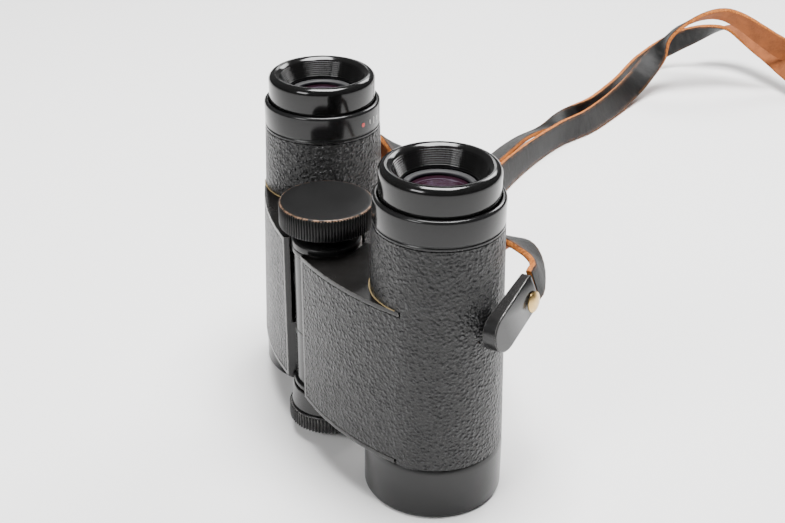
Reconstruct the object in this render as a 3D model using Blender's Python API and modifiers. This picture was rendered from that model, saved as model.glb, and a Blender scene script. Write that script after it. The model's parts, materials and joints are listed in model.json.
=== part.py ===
"""Compact roof-prism binoculars on a leather strap.

Metres, +Z up. The binoculars stand on their two objective ends with the eyecups on top.
The origin is the middle of the footprint on the floor. The two optical axes are parallel
to Z and lie side by side along X: the user's left half is at +X and the right half at -X.
The hinge stands in front of them, towards -Y, because the glass is folded a little.

Each half is modelled in its own flat frame: the hinge axis is at x = 0 and the optical
axis is at x = HINGE_TO_AXIS, times the side, which is 1 for the left half and -1 for the
right one. An empty on the hinge axis then turns the whole half by the fold angle.
"""

from math import asin
from math import atan2
from math import ceil
from math import cos
from math import pi
from math import radians
from math import sin
from math import sqrt

import bmesh
import bpy
from mathutils import Matrix
from mathutils import Vector

# ---------------------------------------------------------------- driving dimensions (m)

CLEARANCE = 0.0003             # between pieces that touch or slide

# The two halves and the hinge between them
HINGE_TO_AXIS = 0.0402         # hinge axis to optical axis
FOLD = radians(22.85)          # how far each half is folded from flat
BODY_BOTTOM = 0.0164           # underside of the body castings and of their covering
BARREL_TOP = 0.0824            # top of the body castings
SHELF_TOP = 0.0635             # flat top of each wing
BORE_RADIUS = 0.0150           # inside of the barrels
COVER_TOP_RADIUS = 0.0175      # covering at the top of the barrel
COVER_BOTTOM_RADIUS = 0.0194   # covering at the bottom of the barrel
COVER_THICKNESS = 0.0007
RIM_WIDTH = 0.0012             # bare metal edge round the covering of a wing

# Wing, seen from above in the flat frame of a half
WING_CORNER = Vector((0.0015, -0.0123))     # where the front face ends, beside the hinge
WING_TANGENT = radians(-85)                 # angle on the barrel where the front face starts
WING_BACK_ANGLE = radians(141)              # angle on the barrel where the back face starts
WING_BACK_END = Vector((0.0090, 0.0055))    # where the back face reaches the hinge

# Hinge column
KNUCKLE_RADIUS = 0.0096
KNUCKLE_BORE = 0.0076
KNUCKLE_TOP = 0.0606           # top of the left half's knuckle
KNUCKLE_SEAM = 0.0354          # the left knuckle is above it and the right one below
KNUCKLE_BOTTOM = 0.0183        # underside of the right half's knuckle
KNUCKLE_ROOM = 0.0012          # gap between a knuckle and the other half's wing
COLLAR_RADIUS = 0.0100
COLLAR_TOP = 0.0649
WASHER_RADIUS = 0.0104
PLUG_TOP = 0.0160
PLUG_TOP_RADIUS = 0.0108
PLUG_BOTTOM = 0.0096
PLUG_BOTTOM_RADIUS = 0.0114
CAP_RADIUS = 0.0122
CAP_BOTTOM = 0.0038
SOCKET_RADIUS = 0.0032         # the threaded socket that the front cap screws into

# Focusing gear
KNOB_RADIUS = 0.0134
KNOB_BOTTOM = 0.0687
KNOB_TOP = 0.0758
SPINDLE_RADIUS = 0.0026
SPINDLE_FLANGE = 0.0055
STEM_RADIUS = 0.0050
STEM_BOTTOM = 0.0520
FOCUS_DOWN = 0.0014            # travel of the focusing lenses from rest
FOCUS_UP = 0.0041
ARM_WIDTH = 0.0050
ARM_HEIGHT = 0.0030
LEFT_ARM_Z = 0.0420
RIGHT_ARM_Z = 0.0240
CELL_BOTTOM = 0.0225
CELL_TOP = 0.0455
CELL_WALL = 0.0012
SLIDING_FIT = 0.0012           # room between the focusing cell and the barrel's bore

# Objective end
OBJECTIVE_RADIUS = 0.01956
OBJECTIVE_LENS_RADIUS = 0.0163
HOOD_DEPTH = 0.0090
SPIGOT_DEPTH = 0.0042

# Prism group
CAGE_BOTTOM = 0.0502
CAGE_TOP = 0.0730
PRISM_WIDTH = 0.0180
PRISM_DEPTH = 0.0160

# Eyepiece end
EYE_RING_RADIUS = 0.0175
EYE_RING_TOP = 0.0909
EYECUP_RADIUS = 0.0160
EYECUP_TOP = 0.0990
EYECUP_WALL = 0.0014
EYECUP_ROLL = 0.0025           # radius of the rolled rim
EYECUP_TRAVEL = 0.0040
DIOPTRE_TRAVEL = 0.0010
NOSE_RADIUS = 0.0100           # the upper part of the eyepiece cell
EYE_LENS_RADIUS = 0.0090
FIELD_LENS_RADIUS = 0.0111

# Strap lugs: flat plates that lean on the barrels and reach back to the strap
LUG_FACE = 0.0229              # optical axis to the middle of the round end's outer face
LUG_FOOT_Y = 0.0006            # place of the stud that holds the lug, behind its round end
LUG_FOOT_Z = 0.0575
LUG_TURN = radians(4)          # how far the outer face looks to the back
LUG_LEAN = radians(6.5)        # how far the outer face looks up
LUG_RISE = radians(22.7)       # slope of the lug's length
LUG_WIDTH = 0.0108
LUG_REACH = 0.0164             # from the stud to the square end
LUG_ROOT = 0.0042              # thickness at the round end
LUG_TIP = 0.0027               # thickness at the square end
LUG_CHAMFER = 0.0003
LUG_CORNER = 0.0009
LUG_STUD_RADIUS = 0.0024
RIVET_RADIUS = 0.0029
RIVET_HEIGHT = 0.0010
RIVET_BACK = 0.0032            # rivet to the lug's square end
RIVET_DROP = 0.0020            # rivet below the middle of the lug

# Strap: a flat leather band from one lug to the other, which lies behind the binoculars
STRAP_WIDTH = 0.0110
STRAP_THICKNESS = 0.0020
STRAP_STEP = 0.0160            # longest distance between two points of the band

# Where the strap's middle runs: x, y from the line between the two optical axes, z, and
# how far its upper edge leans to the left of the way it runs, in degrees. It starts at
# the left lug, and the last few points mirror the first few, because the strap leaves
# both lugs in the same way.
STRAP_START = [
    (0.0491, 0.0225, 0.0639, 7),
    (0.0474, 0.0249, 0.0651, 14),
    (0.0440, 0.0263, 0.0668, 34),
    (0.0405, 0.0265, 0.0683, 54),
    (0.0360, 0.0261, 0.0692, 66),
    (0.0280, 0.0258, 0.0675, 70),
]
STRAP_MIDDLE = [
    (0.0010, 0.0343, 0.0500, 50),
    (-0.0350, 0.0513, 0.0220, 40),
    (-0.0840, 0.0793, 0.0070, 24),
    (-0.1220, 0.1203, 0.0060, 15),
    (-0.1480, 0.1633, 0.0060, 3),
    (-0.1570, 0.1873, 0.0060, 15),
    (-0.1820, 0.2303, 0.0080, 45),
    (-0.1880, 0.2473, 0.0185, 78),
    (-0.1850, 0.2563, 0.0315, 112),
    (-0.1790, 0.2773, 0.0380, 130),
    (-0.1620, 0.3053, 0.0210, 165),
    (-0.1480, 0.3333, 0.0080, 215),
    (-0.1300, 0.3493, 0.0050, 262),
    (-0.1160, 0.3393, 0.0050, 275),
    (-0.1240, 0.3193, 0.0070, 296),
    (-0.1450, 0.3063, 0.0100, 318),
    (-0.1750, 0.3063, 0.0165, 308),
    (-0.1970, 0.3013, 0.0220, 265),
    (-0.2060, 0.2873, 0.0185, 208),
    (-0.2110, 0.2733, 0.0125, 180),
    (-0.2060, 0.2513, 0.0075, 180),
    (-0.1820, 0.2163, 0.0060, 180),
    (-0.1650, 0.1863, 0.0060, 172),
    (-0.1580, 0.1673, 0.0060, 80),
    (-0.1520, 0.1483, 0.0063, 64),
    (-0.1360, 0.1263, 0.0085, 64),
    (-0.1100, 0.0933, 0.0085, 60),
    (-0.0720, 0.0573, 0.0100, 50),
    (-0.0390, 0.0383, 0.0260, 52),
    (-0.0210, 0.0323, 0.0510, 58),
]

SIDES = {"left": 1, "right": -1}
MERGE = 0.00001                # well under the smallest detail


# ---------------------------------------------------------------- scene, materials, helpers

for old_object in list(bpy.data.objects):
    bpy.data.objects.remove(old_object, do_unlink=True)

parts = bpy.data.collections.new("binoculars")
cutters = bpy.data.collections.new("cutters")
bpy.context.scene.collection.children.link(parts)
bpy.context.scene.collection.children.link(cutters)


def material(name, colour, roughness, metallic=0.0):
    made = bpy.data.materials.new(name)
    made.use_nodes = True
    shader = made.node_tree.nodes["Principled BSDF"]
    shader.inputs["Base Color"].default_value = (*colour, 1.0)
    shader.inputs["Roughness"].default_value = roughness
    shader.inputs["Metallic"].default_value = metallic
    made.diffuse_color = (*colour, 1.0)
    return made


BLACK_PAINT = ((0.018, 0.018, 0.020), 0.38, 0.0)
LEATHERETTE = ((0.022, 0.022, 0.023), 0.55, 0.0)
ANODISED = ((0.020, 0.020, 0.022), 0.32, 0.6)
HARD_PLASTIC = ((0.012, 0.012, 0.013), 0.16, 0.0)
INNER_METAL = ((0.030, 0.030, 0.032), 0.60, 0.5)
BRIGHT_METAL = ((0.55, 0.55, 0.57), 0.30, 1.0)
BRASS = ((0.62, 0.46, 0.20), 0.32, 1.0)
COATED_GLASS = ((0.25, 0.20, 0.34), 0.05, 0.0)
CLEAR_GLASS = ((0.75, 0.80, 0.82), 0.05, 0.0)
STRAP_LEATHER = ((0.030, 0.028, 0.027), 0.60, 0.0)


def half_axis(side_name):
    """An empty on the hinge axis that carries everything in one half."""
    empty = bpy.data.objects.new(f"{side_name}_half_axis", None)
    empty.location = (0, HINGE_Y, 0)
    empty.rotation_euler = (0, 0, SIDES[side_name] * FOLD)
    bpy.context.scene.collection.objects.link(empty)
    return empty


def place(obj, finish, parent=None, location=(0, 0, 0)):
    """Put a sub-part in the parts collection with its own material."""
    parts.objects.link(obj)
    obj.data.materials.clear()
    obj.data.materials.append(material(f"{obj.name}_finish", *finish))
    obj.parent = parent
    obj.location = location
    return obj


def keep_as_cutter(obj, parent=None, location=(0, 0, 0)):
    """Put a shape that only cuts or joins others in the cutters collection."""
    cutters.objects.link(obj)
    obj.hide_render = True
    obj.display_type = "WIRE"
    obj.parent = parent
    obj.location = location
    return obj


def arc(centre_r, centre_z, radius, start, end, steps):
    """Points of a circular arc in a turned profile, from start to end in degrees."""
    points = []
    for step in range(steps + 1):
        angle = radians(start + (end - start) * step / steps)
        points.append((centre_r + radius * cos(angle), centre_z + radius * sin(angle)))
    return points


def turned(name, profile, segments=24):
    """A turned solid. The profile is (radius, height), down the outside and up the inside.

    A profile that starts and ends on the axis stays open there; any other one is closed.
    """
    on_axis = profile[0][0] == 0 and profile[-1][0] == 0
    mesh = bpy.data.meshes.new(name)
    count = len(profile)
    edges = [(i, i + 1) for i in range(count - 1)]
    if not on_axis:
        edges.append((count - 1, 0))
    mesh.from_pydata([(r, 0, z) for r, z in profile], edges, [])
    obj = bpy.data.objects.new(name, mesh)
    screw = obj.modifiers.new("turn", "SCREW")
    screw.axis = "Z"
    screw.steps = segments
    screw.render_steps = segments
    screw.use_merge_vertices = True
    screw.merge_threshold = MERGE
    screw.use_smooth_shade = True
    return obj


def rod(name, radius, bottom, top, segments=32):
    """A plain upright cylinder."""
    return turned(name, [(0, top), (radius, top), (radius, bottom), (0, bottom)], segments)


def block(name, low, high):
    """A box between two corners."""
    low = Vector(low)
    high = Vector(high)
    bm = bmesh.new()
    size = high - low
    bmesh.ops.create_cube(bm, size=1, matrix=Matrix.Translation((low + high) / 2)
                          @ Matrix.Diagonal((*size, 1)))
    mesh = bpy.data.meshes.new(name)
    bm.to_mesh(mesh)
    bm.free()
    return bpy.data.objects.new(name, mesh)


def boolean(obj, operand, operation):
    """Cut, join or intersect obj with operand by a modifier."""
    modifier = obj.modifiers.new(f"{operation.lower()} {operand.name}", "BOOLEAN")
    modifier.operation = operation
    modifier.solver = "EXACT"
    modifier.object = operand


def loft(name, outlines, side=1):
    """A solid through a stack of outlines, each a list of the same number of points.

    Where two outlines of the stack share points, the faces between them close up.
    """
    bm = bmesh.new()
    rings = [[bm.verts.new((point.x * side, point.y, point.z)) for point in outline]
             for outline in outlines]
    for lower, upper in zip(rings, rings[1:]):
        for i in range(len(lower)):
            bm.faces.new((lower[i - 1], lower[i], upper[i], upper[i - 1]))
    bm.faces.new(reversed(rings[0]))
    bm.faces.new(rings[-1])
    bmesh.ops.remove_doubles(bm, verts=bm.verts, dist=MERGE)
    bmesh.ops.triangulate(bm, faces=bm.faces)
    bmesh.ops.recalc_face_normals(bm, faces=bm.faces)
    mesh = bpy.data.meshes.new(name)
    bm.to_mesh(mesh)
    bm.free()
    return bpy.data.objects.new(name, mesh)


def slab(name, outline, thickness):
    """A flat plate in the XY plane, middle at z = 0, from a 2D outline."""
    curve = bpy.data.curves.new(name, "CURVE")
    curve.dimensions = "2D"
    curve.fill_mode = "BOTH"
    curve.extrude = thickness / 2
    spline = curve.splines.new("POLY")
    spline.points.add(len(outline) - 1)
    for point, (x, y) in zip(spline.points, outline):
        point.co = (x, y, 0, 1)
    spline.use_cyclic_u = True
    return bpy.data.objects.new(name, curve)


def as_mesh(curve_object, matrix):
    """The curve object as one welded mesh with a matrix applied; the curve is removed."""
    parts.objects.link(curve_object)
    bpy.context.view_layer.update()
    evaluated = curve_object.evaluated_get(bpy.context.evaluated_depsgraph_get())
    mesh = bpy.data.meshes.new_from_object(evaluated)
    bm = bmesh.new()
    bm.from_mesh(mesh)
    bmesh.ops.remove_doubles(bm, verts=bm.verts, dist=MERGE)
    bmesh.ops.recalc_face_normals(bm, faces=bm.faces)
    bm.to_mesh(mesh)
    bm.free()
    mesh.transform(matrix)
    name = curve_object.name
    bpy.data.objects.remove(curve_object, do_unlink=True)
    mesh.name = name
    return bpy.data.objects.new(name, mesh)


# ---------------------------------------------------------------- shape of a half

def cover_radius(z):
    """The barrels are slightly conical: outer radius of the covering at a height."""
    share = (z - BODY_BOTTOM) / (BARREL_TOP - BODY_BOTTOM)
    return COVER_BOTTOM_RADIUS + share * (COVER_TOP_RADIUS - COVER_BOTTOM_RADIUS)


def on_barrel(angle, z, inset=0.0):
    """A point on the covering's outer surface, or under it."""
    radius = cover_radius(z) - inset
    return Vector((HINGE_TO_AXIS + radius * cos(angle), radius * sin(angle), z))


def on_wing_front(share, z, inset=0.0):
    """A point on the wing's front face: share 0 is on the barrel and 1 is the corner.

    The face is one arc that touches the barrel's circle at WING_TANGENT and passes
    through the corner, so its radius follows from those two.
    """
    radius = cover_radius(z)
    barrel = Vector((HINGE_TO_AXIS, 0))
    outward = Vector((cos(WING_TANGENT), sin(WING_TANGENT)))
    to_corner = WING_CORNER - barrel
    along = to_corner.dot(outward)
    bend = (to_corner.length_squared - 2 * radius * along + radius ** 2) / (2 * (radius - along))
    centre = barrel - (bend - radius) * outward
    spoke = WING_CORNER - centre
    end = atan2(spoke.y, spoke.x)
    angle = WING_TANGENT + share * (end - WING_TANGENT)
    return Vector((centre.x + (bend - inset) * cos(angle),
                   centre.y + (bend - inset) * sin(angle), z))


WING_STEPS = 7
BARREL_STEPS = 24
HIDDEN_STEPS = 12
COVER_INSET = COVER_THICKNESS + CLEARANCE
COVER_GAP_ANGLE = asin(2 * CLEARANCE / COVER_TOP_RADIUS)


def corner_share(distance):
    """The share of the front face at which this much of it is left before the corner."""
    length = (on_wing_front(0, BODY_BOTTOM) - on_wing_front(1, BODY_BOTTOM)).length
    return 1 - distance / length


def spread(start, end, steps):
    """Evenly spaced values from start to end, both included."""
    return [start + (end - start) * step / steps for step in range(steps + 1)]


def body_ring(z, level):
    """One level of a body casting, counter-clockwise from the back of the wing.

    At level "rim" the wing's front stands out to the covering's surface, at "recess" it
    lies under the covering except along the hinge edge, and at "barrel" there is no wing.
    """
    front_inset = 0 if level == "rim" else COVER_INSET
    shares = spread(corner_share(RIM_WIDTH + CLEARANCE / 3), 0, WING_STEPS)
    wing = [Vector((*WING_BACK_END, z)), Vector((WING_CORNER.x, 0, z))]
    wing.append(on_wing_front(1, z))
    wing.append(on_wing_front(corner_share(RIM_WIDTH), z))
    wing += [on_wing_front(share, z, front_inset) for share in shares]
    if level == "barrel":
        angles = spread(WING_BACK_ANGLE, WING_TANGENT + 2 * pi, len(wing))[1:]
        wing = [on_barrel(angle, z, COVER_INSET) for angle in angles]
    angles = spread(WING_TANGENT + COVER_GAP_ANGLE / 4, WING_BACK_ANGLE, BARREL_STEPS)
    return wing + [on_barrel(angle, z, COVER_INSET) for angle in angles]


def body_casting(side_name, parent):
    """Barrel, wing and knuckle in one casting, bored out for the optics and the hinge."""
    side = SIDES[side_name]
    barrel_x = side * HINGE_TO_AXIS
    body = loft(f"{side_name}_body", [
        body_ring(BODY_BOTTOM, "rim"),
        body_ring(BODY_BOTTOM + RIM_WIDTH, "rim"),
        body_ring(BODY_BOTTOM + RIM_WIDTH, "recess"),
        body_ring(SHELF_TOP - RIM_WIDTH, "recess"),
        body_ring(SHELF_TOP - RIM_WIDTH, "rim"),
        body_ring(SHELF_TOP, "rim"),
        body_ring(SHELF_TOP, "barrel"),
        body_ring(BARREL_TOP, "barrel"),
    ], side)
    place(body, BLACK_PAINT, parent)

    # the knuckle starts too long; the rooms for the other half's knuckle, the collar and
    # the washer trim it to its own height
    overlap = 3 * CLEARANCE
    if side == 1:
        own = (KNUCKLE_SEAM + CLEARANCE / 2, KNUCKLE_TOP)
    else:
        own = (KNUCKLE_BOTTOM, KNUCKLE_SEAM - CLEARANCE / 2)
    knuckle = rod(f"{side_name}_knuckle", KNUCKLE_RADIUS, own[0] - overlap, own[1] + overlap)
    keep_as_cutter(knuckle, parent)
    boolean(body, knuckle, "UNION")
    rooms = ((BODY_BOTTOM - overlap, own[0]), (own[1], SHELF_TOP + overlap))
    for number, (bottom, top) in enumerate(rooms):
        room = rod(f"{side_name}_knuckle_room_{number}", KNUCKLE_RADIUS + KNUCKLE_ROOM, bottom, top)
        keep_as_cutter(room, parent)
        boolean(body, room, "DIFFERENCE")

    bore = rod(f"{side_name}_bore", BORE_RADIUS, BODY_BOTTOM - CLEARANCE,
               BARREL_TOP + CLEARANCE, 40)
    keep_as_cutter(bore, parent, (barrel_x, 0, 0))
    boolean(body, bore, "DIFFERENCE")
    hinge_bore = rod(f"{side_name}_hinge_bore", KNUCKLE_BORE, BODY_BOTTOM, SHELF_TOP)
    keep_as_cutter(hinge_bore, parent)
    boolean(body, hinge_bore, "DIFFERENCE")

    arm_z = LEFT_ARM_Z if side == 1 else RIGHT_ARM_Z
    half_width = ARM_WIDTH / 2 + 2 * CLEARANCE
    half_height = ARM_HEIGHT / 2 + 2 * CLEARANCE
    near_x = side * KNUCKLE_BORE / 2
    far_x = side * (HINGE_TO_AXIS - BORE_RADIUS / 2)
    channel = block(f"{side_name}_arm_channel",
                    (min(near_x, far_x), -half_width, arm_z - FOCUS_DOWN - half_height),
                    (max(near_x, far_x), half_width, arm_z + FOCUS_UP + half_height))
    keep_as_cutter(channel, parent)
    boolean(body, channel, "DIFFERENCE")
    return body


def leather_cover(side_name, parent):
    """Grained covering, glued round the barrel and into the recess on the wing's front.

    Above the shelf it goes all the way round. Below, it stops at the wing's back, and in
    front it runs on over the wing, with the wing's bare rim left free at top and bottom.
    """
    side = SIDES[side_name]
    strip_bottom = BODY_BOTTOM + RIM_WIDTH + CLEARANCE
    strip_top = SHELF_TOP - RIM_WIDTH - CLEARANCE
    heights = [BODY_BOTTOM, strip_bottom, strip_top, SHELF_TOP + CLEARANCE, BARREL_TOP]
    visible = spread(WING_TANGENT + COVER_GAP_ANGLE, WING_BACK_ANGLE - COVER_GAP_ANGLE,
                     BARREL_STEPS)
    hidden = spread(visible[-1], WING_TANGENT + 2 * pi, HIDDEN_STEPS)
    angles = [WING_TANGENT] + visible + hidden[1:-1]
    hidden_start = len(visible)

    bm = bmesh.new()

    def corner(point):
        return bm.verts.new((point.x * side, point.y, point.z))

    grid = [[corner(on_barrel(angle, z)) for z in heights] for angle in angles]
    columns = len(grid)
    for column in range(columns):
        following = grid[(column + 1) % columns]
        for row in range(len(heights) - 1):
            above_shelf = row == 3
            rim_column = column == 0 and row != 1
            if above_shelf or (column < hidden_start and not rim_column):
                bm.faces.new((grid[column][row], following[row],
                              following[row + 1], grid[column][row + 1]))
    last = corner_share(RIM_WIDTH + CLEARANCE)
    previous = grid[0][1:3]
    for step in range(1, WING_STEPS + 1):
        share = last * step / WING_STEPS
        pair = [corner(on_wing_front(share, z)) for z in (strip_bottom, strip_top)]
        bm.faces.new((pair[0], previous[0], previous[1], pair[1]))
        previous = pair
    loose = [vert for vert in bm.verts if not vert.link_faces]
    bmesh.ops.delete(bm, geom=loose, context="VERTS")
    if side == -1:
        bmesh.ops.reverse_faces(bm, faces=bm.faces)
    mesh = bpy.data.meshes.new(f"{side_name}_cover")
    bm.to_mesh(mesh)
    bm.free()
    cover = bpy.data.objects.new(f"{side_name}_cover", mesh)
    shell = cover.modifiers.new("thickness", "SOLIDIFY")
    shell.thickness = COVER_THICKNESS
    shell.offset = -1
    shell.use_even_offset = True
    place(cover, LEATHERETTE, parent)

    hole = rod(f"{side_name}_stud_hole", LUG_STUD_RADIUS + CLEARANCE, 0, 2 * BORE_RADIUS, 16)
    keep_as_cutter(hole, parent, (side * HINGE_TO_AXIS, LUG_FOOT_Y, LUG_FOOT_Z))
    hole.rotation_euler = (0, side * pi / 2, 0)
    boolean(cover, hole, "DIFFERENCE")
    return cover


# ---------------------------------------------------------------- optics of a half

def barrel_piece(side_name, suffix, profile, finish, parent, segments=24):
    """A turned piece on the half's optical axis."""
    piece = turned(f"{side_name}_{suffix}", profile, segments)
    return place(piece, finish, parent, (SIDES[side_name] * HINGE_TO_AXIS, 0, 0))


def lens_profile(radius, bottom, top, bulge, steps=3):
    """A lens with a straight edge from bottom to top and both faces domed by bulge."""
    upper = []
    lower = []
    for step in range(steps):
        share = step / steps
        dome = bulge * (1 - share ** 2)
        upper.append((radius * share, top + dome))
        lower.append((radius * share, bottom - dome))
    return upper + [(radius, top), (radius, bottom)] + lower[::-1]


def objective_group(side_name, parent):
    wall = 0.0003
    hood_radius = OBJECTIVE_LENS_RADIUS + 2 * wall + CLEARANCE / 3
    seat_z = HOOD_DEPTH + 0.0051
    top = BODY_BOTTOM - CLEARANCE
    spigot_radius = BORE_RADIUS - CLEARANCE
    bevel = 0.0007
    barrel_piece(side_name, "objective_ring", [
        (OBJECTIVE_RADIUS - bevel / 2, top),
        (OBJECTIVE_RADIUS, top - bevel / 2),
        (OBJECTIVE_RADIUS, bevel),
        (OBJECTIVE_RADIUS - bevel, 0),
        (hood_radius + bevel, 0),
        (hood_radius, bevel),
        (hood_radius, seat_z),
        (spigot_radius - 3 * wall, seat_z),
        (spigot_radius - 3 * wall, top + SPIGOT_DEPTH),
        (spigot_radius, top + SPIGOT_DEPTH),
        (spigot_radius, top),
    ], BLACK_PAINT, parent, 40)
    lens_bottom = HOOD_DEPTH + CLEARANCE
    lens_top = seat_z - CLEARANCE
    barrel_piece(side_name, "objective_lens",
                 lens_profile(OBJECTIVE_LENS_RADIUS, lens_bottom, lens_top, 0.0009),
                 COATED_GLASS, parent)
    barrel_piece(side_name, "objective_lock_ring", [
        (hood_radius - CLEARANCE, HOOD_DEPTH),
        (hood_radius - CLEARANCE, HOOD_DEPTH - 0.0016),
        (OBJECTIVE_LENS_RADIUS - 0.0008, HOOD_DEPTH - 0.0016),
        (OBJECTIVE_LENS_RADIUS - 0.0012, HOOD_DEPTH),
    ], INNER_METAL, parent)


def focusing_group(side_name, parent):
    """The inner lens that slides to focus, in a cell with an arm that reaches the hinge."""
    side = SIDES[side_name]
    outer = BORE_RADIUS - SLIDING_FIT
    inner = outer - CELL_WALL
    lens_z = (CELL_BOTTOM + CELL_TOP) / 2
    cell = barrel_piece(side_name, "focusing_cell", [
        (outer, CELL_TOP),
        (outer, CELL_BOTTOM),
        (inner, CELL_BOTTOM),
        (inner, CELL_TOP),
    ], INNER_METAL, parent)
    arm_z = LEFT_ARM_Z if side == 1 else RIGHT_ARM_Z
    arm_end = side * (SPINDLE_RADIUS + 3 * CLEARANCE)
    arm_root = side * (HINGE_TO_AXIS - outer + CELL_WALL / 2)
    arm = block(f"{side_name}_arm",
                (min(arm_end, arm_root), -ARM_WIDTH / 2, arm_z - ARM_HEIGHT / 2),
                (max(arm_end, arm_root), ARM_WIDTH / 2, arm_z + ARM_HEIGHT / 2))
    keep_as_cutter(arm, parent)
    boolean(cell, arm, "UNION")
    barrel_piece(side_name, "focusing_lens",
                 lens_profile(inner - CLEARANCE, lens_z - 0.0012, lens_z + 0.0012, 0.0006),
                 CLEAR_GLASS, parent, 20)


def prism_group(side_name, parent):
    """Two prisms in a cage; the light leaves them upright and in line with the axis."""
    side = SIDES[side_name]
    outer = BORE_RADIUS - CLEARANCE
    wall = 0.0014
    floor = 0.0018
    window = 0.0080
    barrel_piece(side_name, "prism_cage", [
        (outer, CAGE_TOP),
        (outer, CAGE_BOTTOM),
        (window, CAGE_BOTTOM),
        (window, CAGE_BOTTOM + floor),
        (outer - wall, CAGE_BOTTOM + floor),
        (outer - wall, CAGE_TOP),
    ], INNER_METAL, parent)
    bottom = CAGE_BOTTOM + floor + CLEARANCE
    top = CAGE_TOP - CLEARANCE
    middle = (bottom + top) / 2
    slope = 0.0050
    half = PRISM_WIDTH / 2
    outlines = {
        "erecting_prism": [(-half, bottom), (half, bottom), (half, middle + slope - CLEARANCE),
                           (-half, middle - slope - CLEARANCE)],
        "roof_prism": [(-half, middle - slope + CLEARANCE), (half, middle + slope + CLEARANCE),
                       (half, top), (-half, top)],
    }
    for suffix, outline in outlines.items():
        prism = slab(f"{side_name}_{suffix}", outline, PRISM_DEPTH)
        upright = Matrix.Rotation(pi / 2, 4, "X")
        prism = as_mesh(prism, upright)
        place(prism, CLEAR_GLASS, parent, (side * HINGE_TO_AXIS, 0, 0))
    stop_bottom = CAGE_TOP + CLEARANCE
    barrel_piece(side_name, "field_stop", [
        (outer, stop_bottom + 0.0012),
        (outer, stop_bottom),
        (window - 0.0010, stop_bottom),
        (window - 0.0010, stop_bottom + 0.0012),
    ], INNER_METAL, parent)


def eyepiece_group(side_name, parent):
    """Outer ring, lens cell with its two lenses, and the push-down eyecup."""
    ring_name = "eyepiece_ring" if side_name == "left" else "dioptre_ring"
    ring_bottom = BARREL_TOP + CLEARANCE
    spigot = BORE_RADIUS - CLEARANCE
    spigot_wall = 0.0014
    ring_bore = EYECUP_RADIUS + CLEARANCE
    bevel = 0.0006
    floor = ring_bottom + 0.0006
    barrel_piece(side_name, ring_name, [
        (EYE_RING_RADIUS - bevel, EYE_RING_TOP),
        (EYE_RING_RADIUS, EYE_RING_TOP - bevel),
        (EYE_RING_RADIUS, ring_bottom),
        (spigot, ring_bottom),
        (spigot, ring_bottom - 0.0062),
        (spigot - spigot_wall, ring_bottom - 0.0062),
        (spigot - spigot_wall, floor),
        (ring_bore, floor),
        (ring_bore, EYE_RING_TOP),
    ], ANODISED, parent, 40)

    cell_radius = spigot - spigot_wall - CLEARANCE
    cell_bottom = ring_bottom - 0.0067
    web_bottom = EYECUP_TOP - 0.0064
    cell_shoulder = web_bottom - EYECUP_TRAVEL - 2 * CLEARANCE
    nose_top = web_bottom - 0.0007
    lens_floor = cell_bottom + 0.0080
    barrel_piece(side_name, "eyepiece_cell", [
        (NOSE_RADIUS, nose_top),
        (NOSE_RADIUS, cell_shoulder),
        (cell_radius, cell_shoulder),
        (cell_radius, cell_bottom),
        (FIELD_LENS_RADIUS + CLEARANCE, cell_bottom),
        (FIELD_LENS_RADIUS + CLEARANCE, lens_floor),
        (EYE_LENS_RADIUS + CLEARANCE, lens_floor),
        (EYE_LENS_RADIUS + CLEARANCE, nose_top),
    ], INNER_METAL, parent)
    barrel_piece(side_name, "field_lens",
                 lens_profile(FIELD_LENS_RADIUS, cell_bottom + 0.0015, cell_bottom + 0.0055,
                              0.0012), CLEAR_GLASS, parent, 20)
    lens_top = nose_top - CLEARANCE
    barrel_piece(side_name, "eye_lens",
                 lens_profile(EYE_LENS_RADIUS, lens_top - 0.0032, lens_top, 0.0008),
                 COATED_GLASS, parent, 20)
    lock_bottom = nose_top + CLEARANCE
    barrel_piece(side_name, "eye_lens_ring", [
        (NOSE_RADIUS, lock_bottom + 0.0007),
        (NOSE_RADIUS, lock_bottom),
        (EYE_LENS_RADIUS - 0.0006, lock_bottom),
        (EYE_LENS_RADIUS - 0.0006, lock_bottom + 0.0007),
    ], BRIGHT_METAL, parent, 24)

    roll_centre = EYECUP_TOP - EYECUP_ROLL
    roll_r = EYECUP_RADIUS - EYECUP_ROLL
    skirt_bottom = floor + EYECUP_TRAVEL + DIOPTRE_TRAVEL + 2 * CLEARANCE
    funnel_radius = NOSE_RADIUS + CLEARANCE
    outline = arc(roll_r, roll_centre, EYECUP_ROLL, 110, 0, 4)
    outline += [
        (EYECUP_RADIUS, skirt_bottom),
        (EYECUP_RADIUS - EYECUP_WALL, skirt_bottom),
        (EYECUP_RADIUS - EYECUP_WALL, web_bottom),
        (funnel_radius, web_bottom),
        (funnel_radius, web_bottom + 0.0011),
    ]
    barrel_piece(side_name, "eyecup", outline, HARD_PLASTIC, parent, 36)


# ---------------------------------------------------------------- strap lugs

def lug_axes():
    """The left lug's own axes: along it, across it, and out of its outer face."""
    outward = Vector((cos(LUG_TURN) * cos(LUG_LEAN), sin(LUG_TURN) * cos(LUG_LEAN), sin(LUG_LEAN)))
    level = Vector((-sin(LUG_TURN), cos(LUG_TURN), 0))
    along = cos(LUG_RISE) * level + sin(LUG_RISE) * outward.cross(level)
    return along, outward.cross(along), outward


def on_lug(along_by, across_by, depth):
    """A point of the left lug, in the flat frame, at a depth under its outer face."""
    along, across, outward = lug_axes()
    foot = Vector((HINGE_TO_AXIS + LUG_FACE, LUG_FOOT_Y, LUG_FOOT_Z))
    return foot + along_by * along + across_by * across - depth * outward


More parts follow.
